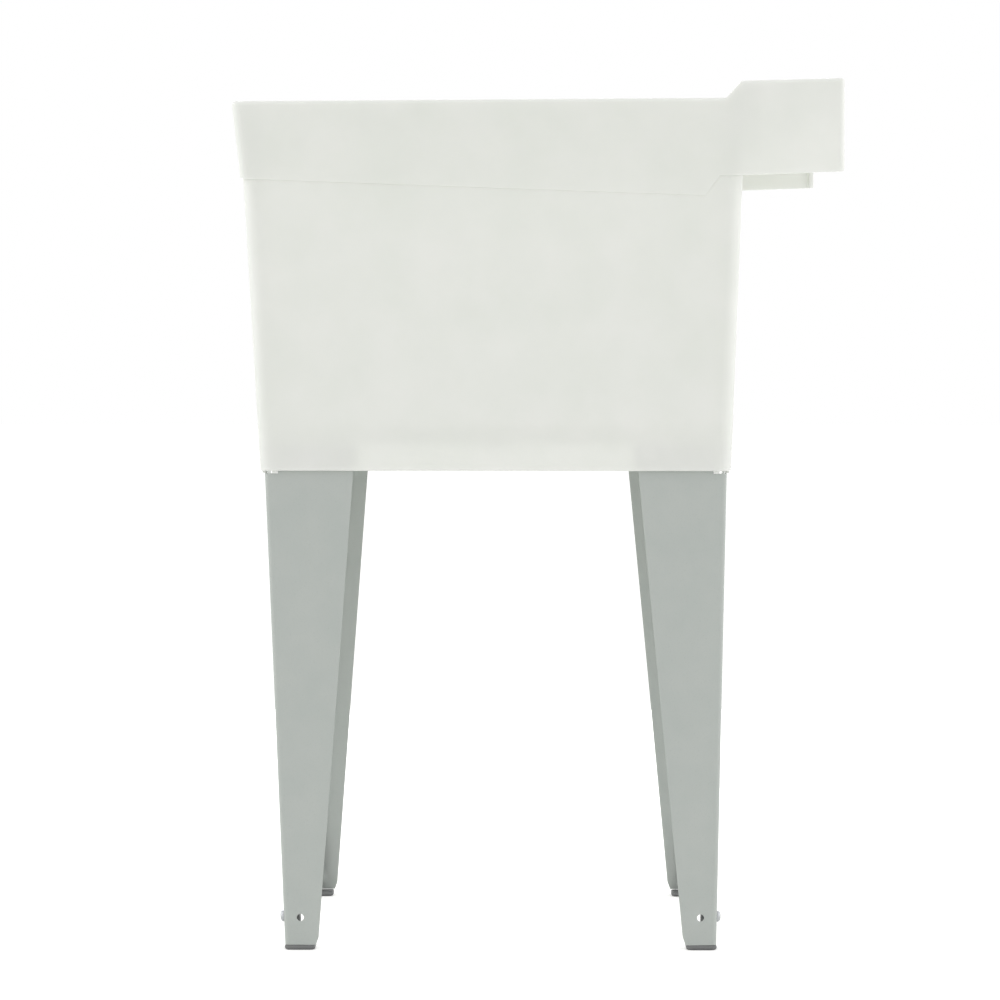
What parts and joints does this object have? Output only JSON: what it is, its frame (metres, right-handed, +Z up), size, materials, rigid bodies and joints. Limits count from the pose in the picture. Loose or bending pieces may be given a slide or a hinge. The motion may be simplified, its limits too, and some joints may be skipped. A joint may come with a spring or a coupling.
{
  "type": "utility laundry sink",
  "caption": "Free-standing moulded plastic laundry tub with a raised back ledge on folded steel angle legs with levelling feet.",
  "frame": {"origin": "on the floor under the middle of the sink", "axes": "+Z up, front of the sink at -Y, raised back ledge at +Y, the user's right at +X"},
  "size_m": [0.508, 0.6, 0.8569],
  "materials": {
    "white_plastic": "satin moulded thermoplastic",
    "grey_steel": "grey powder coat",
    "foot_plastic": "dark grey moulded plastic",
    "zinc": "zinc plated",
    "drain_plastic": "white plastic",
    "rubber": "moulded rubber",
    "fibre": "red fibre",
    "steel": "bright steel"
  },
  "bodies": {
    "tub_and_legs": {"tub": "white_plastic", "leg_front_left": "grey_steel", "leg_front_right": "grey_steel", "leg_back_left": "grey_steel", "leg_back_right": "grey_steel", "foot_screw_front_left": "zinc", "foot_washer_front_left": "zinc", "foot_nut_front_left": "zinc", "foot_screw_front_right": "zinc", "foot_washer_front_right": "zinc", "foot_nut_front_right": "zinc", "foot_screw_back_left": "zinc", "foot_washer_back_left": "zinc", "foot_nut_back_left": "zinc", "foot_screw_back_right": "zinc", "foot_washer_back_right": "zinc", "foot_nut_back_right": "zinc", "drain_body": "drain_plastic", "drain_gasket": "rubber", "drain_washer": "fibre", "drain_locknut": "drain_plastic"},
    "foot_front_left": {"foot_front_left": "foot_plastic"},
    "foot_front_right": {"foot_front_right": "foot_plastic"},
    "foot_back_left": {"foot_back_left": "foot_plastic"},
    "foot_back_right": {"foot_back_right": "foot_plastic"},
    "stopper": {"drain_stopper": "rubber", "stopper_eye": "steel"},
    "stopper_ring": {"stopper_ring": "steel"}
  },
  "joints": [
    {"name": "foot_slide_front_left", "type": "slide", "parent": "tub_and_legs", "child": "foot_front_left", "axis": [0, 0.0425, -0.9991], "range_m": [0, 0.022]},
    {"name": "foot_slide_front_right", "type": "slide", "parent": "tub_and_legs", "child": "foot_front_right", "axis": [0, 0.0425, -0.9991], "range_m": [0, 0.022]},
    {"name": "foot_slide_back_left", "type": "slide", "parent": "tub_and_legs", "child": "foot_back_left", "axis": [0, -0.0201, -0.9998], "range_m": [0, 0.022]},
    {"name": "foot_slide_back_right", "type": "slide", "parent": "tub_and_legs", "child": "foot_back_right", "axis": [0, -0.0201, -0.9998], "range_m": [0, 0.022]},
    {"name": "stopper_lift", "type": "slide", "parent": "tub_and_legs", "child": "stopper", "axis": [0, 0, 1], "range_m": [0, 0.08]},
    {"name": "stopper_ring_swing", "type": "hinge", "parent": "stopper", "child": "stopper_ring", "pos_m": [0, -0.04131, 0.5137], "axis": [-1, 0, 0], "range_deg": [0, 205]}
  ]
}
